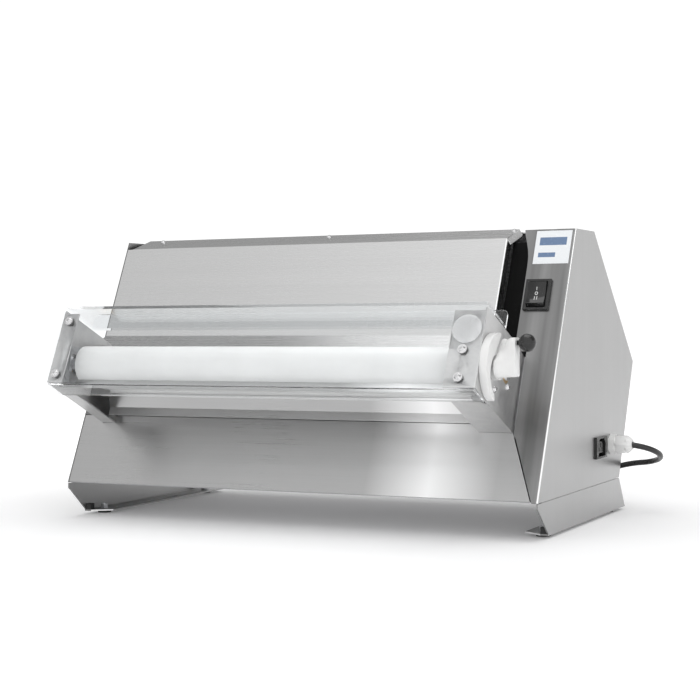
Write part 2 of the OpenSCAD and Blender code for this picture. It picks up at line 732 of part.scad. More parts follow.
module socket_outline(w, h, c) {
  polygon([[-w / 2, -h / 2], [w / 2, -h / 2], [w / 2, h / 2 - c], [w / 2 - c, h / 2],
    [-w / 2 + c, h / 2], [-w / 2, h / 2 - c]]);
}
module side_socket() {
  color("#111111") translate([hw, so_y, so_z]) {
    difference() {
      union() {
        translate([0, -25, -15]) cube([4, 50, 30]);
        translate([-28, -19.8, -13.3]) cube([28.5, 39.6, 26.6]);
      }
      along_x(-16, 5) socket_outline(33, 24, 6.5);
    }
    difference() {
      along_x(-17, 1.6) socket_outline(23.5, 15.6, 4.6);
      for (y = [-7, 0, 7]) translate([-12, y - 1.1, y == 0 ? 0.6 : -5.2]) cube([15, 2.2, 5]);
    }
  }
}
module gland_body() {
  color("gainsboro") translate([0, gl_y, gl_z]) difference() {
    union() {
      translate([hw, 0, 0]) rotate([0, 90, 0]) cylinder(d = 29, h = 8.4, $fn = 6);
      rod_x(hw + 8, hw + 9.5, 24);
      rod_x(hw - 9, hw + 16, 20);
      translate([hw - 8, 0, 0]) rotate([0, 90, 0]) cylinder(d = 27, h = 6, $fn = 6);
    }
    rod_x(hw - 10, hw + 17, cord_d + 1.2);
  }
}
module gland_nut() {
  color("gainsboro") translate([0, gl_y, gl_z]) difference() {
    union() {
      translate([hw + 9.6, 0, 0]) rotate([0, 90, 0]) cylinder(d = 27.6, h = 13, $fn = 6);
      translate([hw + 22.6, 0, 0]) rotate([0, 90, 0]) cylinder(d1 = 24, d2 = 15, h = gl_x1 - hw - 22.6);
    }
    rod_x(hw + 9, hw + 16.2, 20.4);
    rod_x(hw + 9, gl_x1 + 1, cord_d + 0.8);
  }
}

// ---------- mains cord ----------
coil_r = 42;
coil_c = [120, 330];
turn_gap = cord_d + 0.1;
turn_z = 4.2;
// route of the cord from the gland to the coil, round numbers chosen by hand
cord_pts = [[355, 101, 100], [369, 101, 100], [384, 102, 98.8], [398.2, 108.6, 95.4], [408, 120.8, 90.2],
  [411.6, 136, 84.2], [408.2, 151.2, 78.2], [398.2, 163.4, 73.2], [384.4, 170.4, 69.8], [368.5, 173, 67.8],
  [350, 175.6, 64.2], [330.5, 179.6, 58.4], [309, 187, 49], [285, 199, 35.5], [263, 215, 20.5],
  [242, 234, 9.6], [221, 253, 5], [195.5, 271, 4.3], [162, 284, 4.2], [122, 288, 4.2]];
function cat(a, b, c, d, u) = 0.5 * ((2 * b) + (c - a) * u + (2 * a - 5 * b + 4 * c - d) * u * u
  + (3 * b - a - 3 * c + d) * u * u * u);
function pick(p, i) = p[max(0, min(len(p) - 1, i))];
function along(p, v) = let (i = min(floor(v), len(p) - 2), u = v - i)
  cat(pick(p, i - 1), pick(p, i), pick(p, i + 1), pick(p, i + 2), u);
rings = 78;
sides = 10;
function ring_at(p, k, m) = let (v = k * (len(p) - 1) / m, a = along(p, v),
  f = along(p, min(v + 0.02, len(p) - 1)) - along(p, max(v - 0.02, 0)), w = f / norm(f),
  q = cross(w, [0, 0, 1]), e = q / norm(q), g = cross(e, w))
  [for (j = [0 : sides - 1]) a + cord_d / 2 * (cos(j * 360 / sides) * e + sin(j * 360 / sides) * g)];
module tube(p, m) {
  pts = [for (k = [0 : m]) each ring_at(p, k, m)];
  quads = [for (k = [0 : m - 1]) for (j = [0 : sides - 1])
    [k * sides + j, k * sides + (j + 1) % sides, (k + 1) * sides + (j + 1) % sides, (k + 1) * sides + j]];
  ends = [[for (j = [sides - 1 : -1 : 0]) j], [for (j = [0 : sides - 1]) m * sides + j]];
  polyhedron(pts, concat(quads, ends));
}
module mains_cord() {
  color("#111111") tube(cord_pts, rings);
}
coil_turns = 4;
module cord_coil() {
  color("#111111") translate([coil_c[0], coil_c[1], 0]) for (i = [0 : coil_turns - 1])
    translate([0, 0, turn_z + i * turn_gap]) rotate_extrude($fn = 96) translate([coil_r, 0])
      circle(d = cord_d + 0.2, $fn = 24);
}
// moulded plug with two round pins, lying beside the coil at the end of the cord
plug_d = 35.4;
plug_z = plug_d / 2 + 0.2;
tail_z = turn_z + 3 * turn_gap;
tail = 55;
module mains_plug() {
  color("#111111") translate([coil_c[0], coil_c[1] + coil_r, tail_z]) {
    rotate([0, 90 + atan2(tail_z - plug_z, tail), 0]) cylinder(d = cord_d, h = tail + 1);
    translate([tail, 0, plug_z - tail_z]) rotate([0, 90, 0]) {
      cylinder(d1 = cord_d + 1.2, d2 = 14, h = 26);
      translate([0, 0, 26]) cylinder(d1 = 22, d2 = plug_d, h = 14);
      translate([0, 0, 40]) cylinder(d = plug_d, h = 18);
      for (y = [-9.5, 9.5]) translate([0, y, 58]) cylinder(d = 4.8, h = 19);
    }
  }
}

// moves the model so that the origin lies under the middle of its overall box
module placed() {
  translate([-7, 48, 0]) children();
}

placed() left_side_panel();
placed() right_side_panel();
placed() hood();
placed() chute_panel();
placed() rear_cover();
placed() base_plate();
placed() top_brace();
placed() left_foot_rail();
placed() right_foot_rail();
placed() rubber_feet();
placed() foot_bolts();
placed() foot_bumpers();
placed() left_frame_plate();
placed() right_frame_plate();
placed() left_bracket();
placed() right_bracket();
placed() bracket_screws();
placed() exit_deflector();
placed() rear_scraper();
placed() front_scraper();
placed() clear_guard();
placed() guard_screws();
placed() hood_screws();
placed() cover_screws();
placed() blank_disc();
placed() drive_cover();
placed() front_roller();
placed() front_roller_gear();
placed() rear_roller();
placed() rear_roller_gear();
placed() rear_roller_axle();
placed() roller_bushes();
placed() front_axle_tube();
placed() axle_blocks();
placed() slide_guides();
placed() adjuster_shaft();
placed() index_plate();
placed() adjuster_hub();
placed() adjuster_set_screw();
placed() ball_knob();
placed() idler_gear();
placed() idler_pin();
placed() motor_pinion();
placed() gearbox();
placed() motor();
placed() motor_feet();
placed() run_capacitor();
placed() terminal_block();
placed() switch_bezel();
placed() switch_body();
placed() rocker();
placed() label();
placed() side_socket();
placed() gland_body();
placed() gland_nut();
placed() mains_cord();
placed() cord_coil();
placed() mains_plug();
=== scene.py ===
"""Looks for the counter-top dough sheeter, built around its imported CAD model.

Metres, in the CAD's own frame: X across the machine, +Y to its back, +Z up.
"""

import math

import bmesh
import bpy
from mathutils import Matrix, Vector


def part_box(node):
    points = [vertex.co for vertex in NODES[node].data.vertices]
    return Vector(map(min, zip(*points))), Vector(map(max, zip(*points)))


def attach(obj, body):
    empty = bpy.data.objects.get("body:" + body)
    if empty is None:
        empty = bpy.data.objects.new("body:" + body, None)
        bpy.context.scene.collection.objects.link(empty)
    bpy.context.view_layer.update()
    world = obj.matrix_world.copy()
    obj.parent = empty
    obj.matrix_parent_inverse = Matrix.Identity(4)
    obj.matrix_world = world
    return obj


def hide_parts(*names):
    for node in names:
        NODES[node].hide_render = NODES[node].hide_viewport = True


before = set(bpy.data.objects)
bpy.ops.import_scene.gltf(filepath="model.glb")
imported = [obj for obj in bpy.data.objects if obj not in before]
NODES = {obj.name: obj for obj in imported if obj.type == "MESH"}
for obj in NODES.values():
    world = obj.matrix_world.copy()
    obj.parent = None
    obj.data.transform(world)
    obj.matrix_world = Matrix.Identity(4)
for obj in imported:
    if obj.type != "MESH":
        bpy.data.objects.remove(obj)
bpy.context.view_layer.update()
scene = bpy.context.scene
MM = 0.001

# The CAD is drawn round a point at the middle of the body and then shifted by this much.
SHIFT = Vector((-7, 48, 0))
# The front panels lean back by this angle from a line at this depth and height.
LEAN = math.radians(25)
FRONT_Y = -219
BASE_Z = 49


def own(x, y, z):
    """A point in the CAD's millimetres as a point in the scene."""
    return (Vector((x, y, z)) + SHIFT) * MM


def leaned(x, y, s):
    """A point at depth y under the leaning front and s up it, in millimetres, as a point in the scene."""
    return own(
        x,
        FRONT_Y + y * math.cos(LEAN) + s * math.sin(LEAN),
        BASE_Z - y * math.sin(LEAN) + s * math.cos(LEAN),
    )


# ---------------------------------------------------------------- camera
def make_camera(place, azimuth, pitch, roll, lens):
    """A camera at place that looks along azimuth, from +Y towards -X, all in degrees."""
    a, p, r = (math.radians(v) for v in (azimuth, pitch, roll))
    ahead = Vector((-math.sin(a) * math.cos(p), math.cos(a) * math.cos(p), math.sin(p)))
    right = Vector((math.cos(a), math.sin(a), 0))
    up = right.cross(ahead)
    across = math.cos(r) * right + math.sin(r) * up
    upward = -math.sin(r) * right + math.cos(r) * up
    data = bpy.data.cameras.new("camera")
    data.sensor_width = 36
    data.lens = lens
    data.clip_start, data.clip_end = 0.05, 60
    cam = bpy.data.objects.new("camera", data)
    turn = Matrix((across, upward, -ahead)).transposed().to_4x4()
    cam.matrix_world = Matrix.Translation(place) @ turn
    scene.collection.objects.link(cam)
    scene.camera = cam


make_camera(Vector((0.9671, -2.0193, 0.2714)), azimuth=25.426, pitch=-0.942, roll=-0.342, lens=81.08)


# ---------------------------------------------------------------- mesh helpers
def add_object(name, data, body):
    """Links data as a piece that rides on body."""
    obj = bpy.data.objects.new(name, data)
    scene.collection.objects.link(obj)
    if body:
        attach(obj, body)
    return obj


def mesh_piece(name, bm, body, material, smooth_angle=35):
    """Turns bm into a piece on body, shaded smooth where faces meet at less than smooth_angle degrees."""
    bmesh.ops.recalc_face_normals(bm, faces=bm.faces)
    limit = math.radians(smooth_angle)
    for face in bm.faces:
        face.smooth = True
    for edge in bm.edges:
        if len(edge.link_faces) == 2 and edge.calc_face_angle(0) > limit:
            edge.smooth = False
    data = bpy.data.meshes.new(name)
    bm.to_mesh(data)
    bm.free()
    data.materials.append(material)
    return add_object(name, data, body)


def lathe(bm, profile, sides, matrix, radius_at=None):
    """Adds a turned form: profile is [(distance along z, radius), ...], closed where the radius is 0."""
    rings = []
    for dist, radius in profile:
        if radius == 0:
            rings.append([bm.verts.new(matrix @ Vector((0, 0, dist)))])
            continue
        ring = []
        for k in range(sides):
            a = 2 * math.pi * k / sides
            r = radius * (radius_at(a, dist) if radius_at else 1)
            ring.append(bm.verts.new(matrix @ Vector((r * math.cos(a), r * math.sin(a), dist))))
        rings.append(ring)
    for low, high in zip(rings, rings[1:]):
        for k in range(sides):
            n = (k + 1) % sides
            if len(low) == 1 and len(high) == 1:
                continue
            if len(low) == 1:
                bm.faces.new((low[0], high[n], high[k]))
            elif len(high) == 1:
                bm.faces.new((low[k], low[n], high[0]))
            else:
                bm.faces.new((low[k], low[n], high[n], high[k]))


def along_x(start):
    """Placement of a form in millimetres that runs along +X from start."""
    return Matrix.Translation(start) @ Matrix.Rotation(math.pi / 2, 4, "Y") @ Matrix.Scale(MM, 4)


def soften(node, width, segments=2, angle=35):
    """Takes the razor edge off a CAD node with a small bevel, in millimetres."""
    obj = NODES[node]
    weld = obj.modifiers.new("weld", "WELD")
    weld.merge_threshold = 1e-6
    bevel = obj.modifiers.new("edges", "BEVEL")
    bevel.width = width * MM
    bevel.segments = segments
    bevel.limit_method = "ANGLE"
    bevel.angle_limit = math.radians(angle)
    bevel.harden_normals = True
    bevel.use_clamp_overlap = True
    bevel.miter_outer = "MITER_ARC"


# ---------------------------------------------------------------- cord and plug
CORD_D = 8
# The cord's route from the gland to the coil, as in the CAD, in its millimetres.
ROUTE = [
    (355, 101, 100), (369, 101, 100), (384, 102, 98.8), (398.2, 108.6, 95.4), (408, 120.8, 90.2),
    (411.6, 136, 84.2), (408.2, 151.2, 78.2), (398.2, 163.4, 73.2), (384.4, 170.4, 69.8), (368.5, 173, 67.8),
    (350, 175.6, 64.2), (330.5, 179.6, 58.4), (309, 187, 49), (285, 199, 35.5), (263, 215, 20.5),
    (242, 234, 9.6), (221, 253, 5), (195.5, 271, 4.3), (162, 284, 4.2), (122, 288, 4.2),
]
COIL = (120, 330)
COIL_R = 42
TURN_GAP = CORD_D + 0.1
TURN_Z = 4.2
ALL_TURNS = 3.5
TURN_POINTS = 40
# Each turn climbs to the next level from this share of the turn, over that share of it.
CLIMB_FROM, CLIMB_OVER = 0.6, 0.28
# The end of the cord leaves the top turn and comes down to the plug's axis over this distance.
TAIL = 55
TAIL_POINTS = 12
PLUG_Z = 17.9
TAIL_DROP = TURN_Z + 3 * TURN_GAP - PLUG_Z


def spline_point(a, b, c, d, u):
    """The point at u from b to c on the smooth curve through a, b, c and d."""
    return 0.5 * (2 * b + (c - a) * u + (2 * a - 5 * b + 4 * c - d) * u**2 + (3 * b - a - 3 * c + d) * u**3)


def smooth_route(points, per_span):
    """The CAD's curve through points, in per_span steps between each two."""
    line = [Vector(p) for p in points]
    out = []
    for i in range(len(line) - 1):
        near = [line[max(0, min(len(line) - 1, i + k))] for k in (-1, 0, 1, 2)]
        out += [spline_point(*near, u / per_span) for u in range(per_span)]
    return out + [line[-1]]


def ease(u):
    u = max(0.0, min(1.0, u))
    return u * u * (3 - 2 * u)


def coil_point(turn):
    """A point of the coil after that many turns, clockwise seen from above, from its front."""
    level = math.floor(turn)
    height = level + ease((turn - level - CLIMB_FROM) / CLIMB_OVER)
    angle = -math.pi / 2 - math.tau * turn
    x, y = COIL[0] + COIL_R * math.cos(angle), COIL[1] + COIL_R * math.sin(angle)
    return Vector((x, y, TURN_Z + TURN_GAP * height))


def cord_line():
    """The whole cord from the gland to the plug."""
    line = smooth_route(ROUTE, 6)[:-1]
    line += [coil_point(k / TURN_POINTS) for k in range(round(ALL_TURNS * TURN_POINTS) + 1)]
    end = line[-1]
    for k in range(1, TAIL_POINTS + 1):
        u = k / TAIL_POINTS
        line.append(end + Vector((TAIL * u, 0, -TAIL_DROP * ease(u))))
    return line


# ---------------------------------------------------------------- materials
class Look:
    """A procedural material, built up by small steps."""

    def __init__(self, name, color, rough, metal=0.0):
        self.name = name
        self.material = bpy.data.materials.new("look_" + name)
        self.material.use_nodes = True
        self.tree = self.material.node_tree
        self.shader = self.tree.nodes["Principled BSDF"]
        self.set("Base Color", (*color, 1))
        self.set("Roughness", rough)
        self.set("Metallic", metal)
        self.place = self.tree.nodes.new("ShaderNodeTexCoord").outputs["Object"]
        self.bump_out = None

    def set(self, socket, value):
        self.shader.inputs[socket].default_value = value
        return self

    def link(self, out, socket):
        self.tree.links.new(out, self.shader.inputs[socket])

    def base(self):
        """The output that feeds the base colour."""
        return self.shader.inputs["Base Color"].links[0].from_socket

    def axes(self, out):
        """The x, y and z of a vector output, by their names in capitals."""
        split = self.tree.nodes.new("ShaderNodeSeparateXYZ")
        self.tree.links.new(out, split.inputs[0])
        return split.outputs

    def sideways(self):
        """How far the surface faces across the machine, 0 to 1."""
        normal = self.tree.nodes.new("ShaderNodeNewGeometry").outputs["Normal"]
        return self.math("ABSOLUTE", self.axes(normal)["X"])

    def noise(self, scale, detail=3.0, roughness=0.55, distortion=0.0):
        """Noise with its own scale along x, y and z, in turns to the metre."""
        stretch = self.tree.nodes.new("ShaderNodeMapping")
        stretch.inputs["Scale"].default_value = scale
        self.tree.links.new(self.place, stretch.inputs["Vector"])
        n = self.tree.nodes.new("ShaderNodeTexNoise")
        n.inputs["Scale"].default_value = 1
        n.inputs["Detail"].default_value = detail
        n.inputs["Roughness"].default_value = roughness
        n.inputs["Distortion"].default_value = distortion
        self.tree.links.new(stretch.outputs["Vector"], n.inputs["Vector"])
        return n.outputs["Fac"]

    def spread(self, out, low, high, start=0.3, end=0.7):
        """Maps out from start..end to low..high."""
        m = self.tree.nodes.new("ShaderNodeMapRange")
        for name, value in (("From Min", start), ("From Max", end), ("To Min", low), ("To Max", high)):
            m.inputs[name].default_value = value
        self.tree.links.new(out, m.inputs["Value"])
        return m.outputs["Result"]

    def mix(self, factor, low, high):
        """A colour between low and high, either of which may be an output."""
        m = self.tree.nodes.new("ShaderNodeMix")
        m.data_type = "RGBA"
        self.tree.links.new(factor, m.inputs["Factor"])
        for socket, value in ((m.inputs[6], low), (m.inputs[7], high)):
            if isinstance(value, bpy.types.NodeSocket):
                self.tree.links.new(value, socket)
            else:
                socket.default_value = (*value, 1)
        return m.outputs[2]

    def math(self, operation, *values):
        m = self.tree.nodes.new("ShaderNodeMath")
        m.operation = operation
        for socket, value in zip(m.inputs, values):
            if isinstance(value, bpy.types.NodeSocket):
                self.tree.links.new(value, socket)
            else:
                socket.default_value = value
        return m.outputs[0]

    def tint(self, factor, low, high):
        self.link(self.mix(factor, low, high), "Base Color")
        return self

    def roughen(self, out, low, high):
        self.link(self.spread(out, low, high), "Roughness")
        return self

    def bump(self, out, depth, strength=1.0):
        """Adds relief of depth millimetres."""
        b = self.tree.nodes.new("ShaderNodeBump")
        b.inputs["Distance"].default_value = depth * MM
        b.inputs["Strength"].default_value = strength
        self.tree.links.new(out, b.inputs["Height"])
        if self.bump_out:
            self.tree.links.new(self.bump_out, b.inputs["Normal"])
        self.bump_out = b.outputs["Normal"]
        self.link(self.bump_out, "Normal")
        return self


def greys(level, swing):
    """Two greys a swing below and above level."""
    return [(level - s, level - s, level - s * 0.98) for s in (swing, -swing)]


# Stretch of a brushed grain along its length and across it, in turns to the metre.
GRAIN_ALONG, GRAIN_ACROSS = 5, 1100
# Colour painted on steel as a highlight, where it would catch the light.
PAINTED_GLEAM = (0.97, 0.97, 0.97)


def grain_scale(axis, along, across):
    return [along if a == axis else across for a in "xyz"]


def brushed(name, axis, level, rough, contrast=0.018, aniso=0.7):
    """Brushed stainless steel with its grain along axis."""
    look = Look(name, (level,) * 3, rough, metal=1)
    fine = look.noise(grain_scale(axis, GRAIN_ALONG, GRAIN_ACROSS), detail=2)
    band = look.noise(grain_scale(axis, 1.2, 38), detail=4)
    cloud = look.noise((5, 5, 5), detail=5, roughness=0.6)
    streaks = look.math("ADD", look.math("MULTIPLY", fine, 0.55), look.math("MULTIPLY", band, 0.45))
    look.tint(look.spread(streaks, 0, 1), *greys(level, contrast))
    look.roughen(look.math("ADD", look.math("MULTIPLY", fine, 0.5), look.math("MULTIPLY", cloud, 0.5)),
                 rough * 0.82, rough * 1.22)
    look.bump(fine, 0.008, 0.12)
    look.bump(cloud, 0.2, 0.06)
    look.set("Anisotropic", aniso)
    tangent = look.tree.nodes.new("ShaderNodeTangent")
    tangent.direction_type = "RADIAL"
    tangent.axis = axis.upper()
    look.link(tangent.outputs["Tangent"], "Tangent")
    # painted highlight: faces half turned between front and side, at the folds, are painted as a bright line
    across = look.sideways()
    fold_highlight = look.math("MULTIPLY", look.spread(across, 0, 1, 0.25, 0.4), look.spread(across, 1, 0, 0.85, 0.97))
    look.link(look.mix(fold_highlight, look.base(), PAINTED_GLEAM), "Base Color")
    return look


# Middle and half width of the soft gleam across the chute panel, a reflection painted into its colour, in
# metres.
GLEAM_X, GLEAM_WIDE = 0.195, 0.09


def make_materials():
    """Every material by its short name."""
    out = {}

    def keep(look):
        out[look.name] = look.material
        return look

    keep(brushed("steel_front", "x", 0.62, rough=0.26))
    chute = keep(brushed("steel_chute", "x", 0.46, rough=0.3))
    # painted reflection: a soft bright band painted across the chute, fading with distance along x from its
    # middle
    off = chute.math("ABSOLUTE", chute.math("SUBTRACT", chute.axes(chute.place)["X"], GLEAM_X))
    chute.link(chute.mix(chute.spread(off, 1, 0, 0, GLEAM_WIDE), chute.base(), PAINTED_GLEAM), "Base Color")
    side = keep(brushed("steel_side", "z", 0.42, rough=0.34, contrast=0.012, aniso=0.3))
    # the control strip, on the same sheet as the side, is painted darker as painted shade, with soft upright
    # streaks of painted reflection
    on_side = side.spread(side.sideways(), 0, 1, 0.2, 0.35)
    streaks = side.spread(side.noise((60, 4, 2), detail=2), 0, 1)
    strip = side.mix(streaks, (0.18, 0.18, 0.18), (0.29, 0.29, 0.29))
    side.link(side.mix(on_side, strip, side.base()), "Base Color")

    bracket = keep(Look("steel_bracket", (0.6, 0.6, 0.6), 0.3, metal=1))
    patch = bracket.noise((38, 38, 38), detail=6, roughness=0.7, distortion=0.6)
    mill = bracket.noise((14, 14, 260), detail=4)
    bracket.tint(bracket.spread(patch, 0, 1), (0.56, 0.56, 0.565), (0.68, 0.68, 0.675))
    bracket.roughen(patch, 0.28, 0.4)
    bracket.bump(mill, 0.03, 0.2)
    bracket.bump(patch, 0.08, 0.1)

    frame_steel = keep(Look("steel_mill", (0.45, 0.45, 0.46), 0.42, metal=1))
    cloud = frame_steel.noise((24, 24, 24), detail=5)
    frame_steel.tint(frame_steel.spread(cloud, 0, 1), (0.36, 0.36, 0.37), (0.5, 0.5, 0.51))
    frame_steel.roughen(cloud, 0.34, 0.52)
    frame_steel.bump(cloud, 0.2, 0.2)

    bright = keep(Look("steel_bright", (0.72, 0.72, 0.73), 0.16, metal=1))
    scuff = bright.noise((420, 420, 420), detail=4)
    bright.tint(bright.spread(scuff, 0, 1), (0.6, 0.6, 0.61), (0.8, 0.8, 0.8))
    bright.roughen(scuff, 0.1, 0.28)
    bright.bump(scuff, 0.02, 0.3)

    zinc = keep(Look("zinc", (0.55, 0.56, 0.58), 0.38, metal=0.9))
    flower = zinc.noise((130, 130, 130), detail=5, distortion=0.8)
    zinc.tint(zinc.spread(flower, 0, 1), (0.45, 0.46, 0.48), (0.62, 0.63, 0.64))
    zinc.roughen(flower, 0.28, 0.5)
    zinc.bump(flower, 0.04, 0.3)

    white = keep(Look("white_pe", (0.86, 0.86, 0.85), 0.42))
    ring = white.noise((900, 12, 12), detail=2)
    soft = white.noise((18, 18, 18), detail=4)
    white.tint(white.spread(soft, 0, 1), (0.75, 0.75, 0.745), (0.8, 0.8, 0.795))
    white.roughen(ring, 0.36, 0.5)
    white.bump(ring, 0.02, 0.35)
    white.set("Subsurface Weight", 0.12).set("Subsurface Radius", (0.006, 0.006, 0.006))

    nylon = keep(Look("gear_nylon", (0.78, 0.75, 0.64), 0.5))
    soft = nylon.noise((60, 60, 60), detail=4)
    nylon.tint(nylon.spread(soft, 0, 1), (0.72, 0.68, 0.56), (0.8, 0.77, 0.67))
    nylon.roughen(soft, 0.42, 0.58)
    nylon.bump(soft, 0.05, 0.2)

    bronze = keep(Look("bronze", (0.6, 0.43, 0.22), 0.3, metal=1))
    soft = bronze.noise((200, 40, 40), detail=4)
    bronze.tint(bronze.spread(soft, 0, 1), (0.5, 0.35, 0.17), (0.68, 0.5, 0.28))
    bronze.roughen(soft, 0.24, 0.42)
    bronze.bump(soft, 0.03, 0.3)

    for name, level, low, high, grit, relief in (
        ("black_gloss", 0.012, 0.06, 0.14, 700, 0.004),
        ("black_satin", 0.016, 0.22, 0.34, 900, 0.015),
        ("black_matt", 0.003, 0.7, 0.85, 600, 0.02),
        ("rubber", 0.02, 0.6, 0.8, 500, 0.06),
        ("motor_paint", 0.03, 0.38, 0.5, 350, 0.05),
    ):
        look = keep(Look(name, (level,) * 3, (low + high) / 2))
        grain = look.noise((grit,) * 3, detail=3)
        dust = look.noise((22, 22, 22), detail=4)
        look.tint(look.spread(dust, 0, 1), (level * 0.8,) * 3, (level * 1.5,) * 3)
        look.roughen(dust, low, high)
        look.bump(grain, relief, 0.3)
        if name == "black_matt":
            look.set("Specular IOR Level", 0.15)

    light = keep(Look("light_nylon", (0.8, 0.8, 0.79), 0.4))
    soft = light.noise((160, 160, 160), detail=4)
    light.tint(light.spread(soft, 0, 1), (0.76, 0.76, 0.75), (0.84, 0.84, 0.835))
    light.roughen(soft, 0.34, 0.48)
    light.bump(soft, 0.03, 0.25)

    cast = keep(Look("cast_alloy", (0.55, 0.55, 0.56), 0.5, metal=0.9))
    grain = cast.noise((500, 500, 500), detail=4)
    cast.tint(cast.spread(grain, 0, 1), (0.48, 0.48, 0.49), (0.6, 0.6, 0.61))
    cast.roughen(grain, 0.42, 0.6)
    cast.bump(grain, 0.12, 0.4)

    frost = keep(Look("frosted_film", (0.93, 0.94, 0.95), 0.6))
    grain = frost.noise((700, 700, 700), detail=3)
    frost.roughen(grain, 0.5, 0.75)
    frost.bump(grain, 0.02, 0.3)
    frost.set("Alpha", 0.25)
    return out


def make_clear():
    """Clear acrylic that lets lamps through, with faint hairline scratches."""
    look = Look("clear_acrylic", (0.985, 0.995, 1.0), 0.02)
    look.set("Transmission Weight", 1.0).set("IOR", 1.06)
    look.set("Coat Weight", 1.0).set("Coat IOR", 1.4).set("Coat Roughness", 0.02)
    hair = look.noise((30, 30, 900), detail=5, roughness=0.7)
    look.roughen(hair, 0.005, 0.05)
    nodes, links = look.tree.nodes, look.tree.links
    path = nodes.new("ShaderNodeLightPath")
    through = nodes.new("ShaderNodeBsdfTransparent")
    through.inputs["Color"].default_value = (0.93, 0.94, 0.94, 1)
    either = nodes.new("ShaderNodeMixShader")
    links.new(path.outputs["Is Shadow Ray"], either.inputs[0])
    links.new(look.shader.outputs[0], either.inputs[1])
    links.new(through.outputs[0], either.inputs[2])
    links.new(either.outputs[0], nodes["Material Output"].inputs["Surface"])
    return look.material


def make_clear_edge():
    """Sawn and bent edges of the acrylic, painted white with a faint glow: the frosting of sawn acrylic, and
    painted light for the light the edges gather.
    """
    look = Look("acrylic_edge_glow", (0.9, 0.91, 0.91), 0.3)
    grain = look.noise((400, 400, 400), detail=3)
    look.tint(look.spread(grain, 0, 1), (0.86, 0.87, 0.87), (0.93, 0.94, 0.94))
    look.roughen(grain, 0.22, 0.4)
    look.bump(grain, 0.01, 0.2)
    # painted light: the edges glow faintly, though they are no lamp
    look.set("Emission Color", (1, 1, 1, 1)).set("Emission Strength", 0.25)
    return look.material


# Left, right, bottom and top of the label's bars, as fractions of its width and height.
BARS = ((0.12, 0.88, 0.56, 0.8), (0.12, 0.6, 0.2, 0.34))


def make_label():
    """A pale film with two plain bars, in the plane of the control strip."""
    look = Look("label_film", (0.8, 0.82, 0.85), 0.22)
    low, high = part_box("label")
    place = look.axes(look.place)
    mask = None
    for left, right, bottom, top in BARS:
        inside = None
        for axis, a, b in (("X", left, right), ("Z", bottom, top)):
            k = "XYZ".index(axis)
            for limit, test in ((low[k] + a * (high[k] - low[k]), "GREATER_THAN"),
                                (low[k] + b * (high[k] - low[k]), "LESS_THAN")):
                one = look.math(test, place[axis], limit)
                inside = one if inside is None else look.math("MULTIPLY", inside, one)
        mask = inside if mask is None else look.math("MAXIMUM", mask, inside)
    look.tint(mask, (0.78, 0.8, 0.82), (0.13, 0.2, 0.33))
    grain = look.noise((300, 300, 300), detail=3)
    look.roughen(grain, 0.18, 0.3)
    look.bump(grain, 0.01, 0.2)
    return look.material


MATERIALS = make_materials()
MATERIALS["clear_acrylic"] = make_clear()
MATERIALS["acrylic_edge_glow"] = make_clear_edge()
MATERIALS["label_film"] = make_label()

# Material of each carried-over node, and the bevel on its edges in millimetres.
FINISH = {
    "steel_front": (["hood"], 0.25),
    "steel_chute": (["chute_panel", "exit_deflector", "front_scraper"], 0.25),
    "steel_side": (["left_side_panel", "right_side_panel", "left_foot_rail", "right_foot_rail"], 0.3),
    "steel_bracket": (["left_bracket", "right_bracket"], 0.3),
    "steel_mill": (["base_plate", "top_brace", "left_frame_plate", "right_frame_plate", "motor_feet"], 0),
    "steel_bright": (
        ["bracket_screws", "guard_screws", "hood_screws", "cover_screws", "rear_roller_axle", "adjuster_shaft",
         "front_axle_tube"],
        0.2,
    ),
    "zinc": (
        ["foot_bolts", "idler_pin", "motor_pinion", "run_capacitor", "axle_blocks", "slide_guides"],
        0.15,
    ),
    "white_pe": (["front_roller", "rear_roller", "rear_scraper"], 0.6),
    "gear_nylon": (["front_roller_gear", "rear_roller_gear", "idler_gear"], 0),
    "bronze": (["roller_bushes"], 0.2),
    "black_gloss": (["ball_knob", "rocker"], 0.3),
    "black_satin": (["switch_bezel", "side_socket"], 0.5),
    "black_matt": (["drive_cover", "switch_body", "terminal_block", "adjuster_set_screw"], 0.2),
    "rubber": (["rubber_feet", "foot_bumpers"], 0.6),
    "motor_paint": (["motor"], 0.8),
    "cast_alloy": (["gearbox"], 1.5),
    "light_nylon": (["gland_body"], 0.5),
    "clear_acrylic": (["clear_guard"], 1.3),
    "frosted_film": (["blank_disc"], 0),
    "label_film": (["label"], 0),
}
# The adjuster's white plate has well rounded edges.
ROUNDED = {"index_plate": 2.6}


def dress(node, material, bevel, segments=2):
    obj = NODES[node]
    obj.data.materials.clear()
    obj.data.materials.append(MATERIALS[material])
    if bevel:
        soften(node, bevel, segments)


for material_name, (members, bevel_width) in FINISH.items():
    for member in members:
        dress(member, material_name, bevel_width)
for member, bevel_width in ROUNDED.items():
    dress(member, "white_pe", bevel_width, segments=4)
# the rear cover keeps its plain edges, so that nothing shades across its vents
dress("rear_cover", "steel_front", 0)
# the guard's bevelled edges take a material of their own, painted white with a faint glow as painted light
NODES["clear_guard"].data.materials.append(MATERIALS["acrylic_edge_glow"])
NODES["clear_guard"].modifiers["edges"].material = 1


# ---------------------------------------------------------------- cord and plug pieces
def make_cord(plug):
    line = [(p + SHIFT) * MM for p in cord_line()]
    curve = bpy.data.curves.new("mains_lead", "CURVE")
    curve.dimensions = "3D"
    curve.bevel_depth = CORD_D / 2 * MM
    curve.bevel_resolution = 5
    curve.use_fill_caps = True
    spline = curve.splines.new("POLY")
    spline.points.add(len(line) - 1)
    for point, at in zip(spline.points, line):
        point.co = (*at, 1)
    curve.materials.append(MATERIALS["black_satin"])
    lead = add_object("mains_lead", curve, "machine")
    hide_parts("mains_cord", "cord_coil")


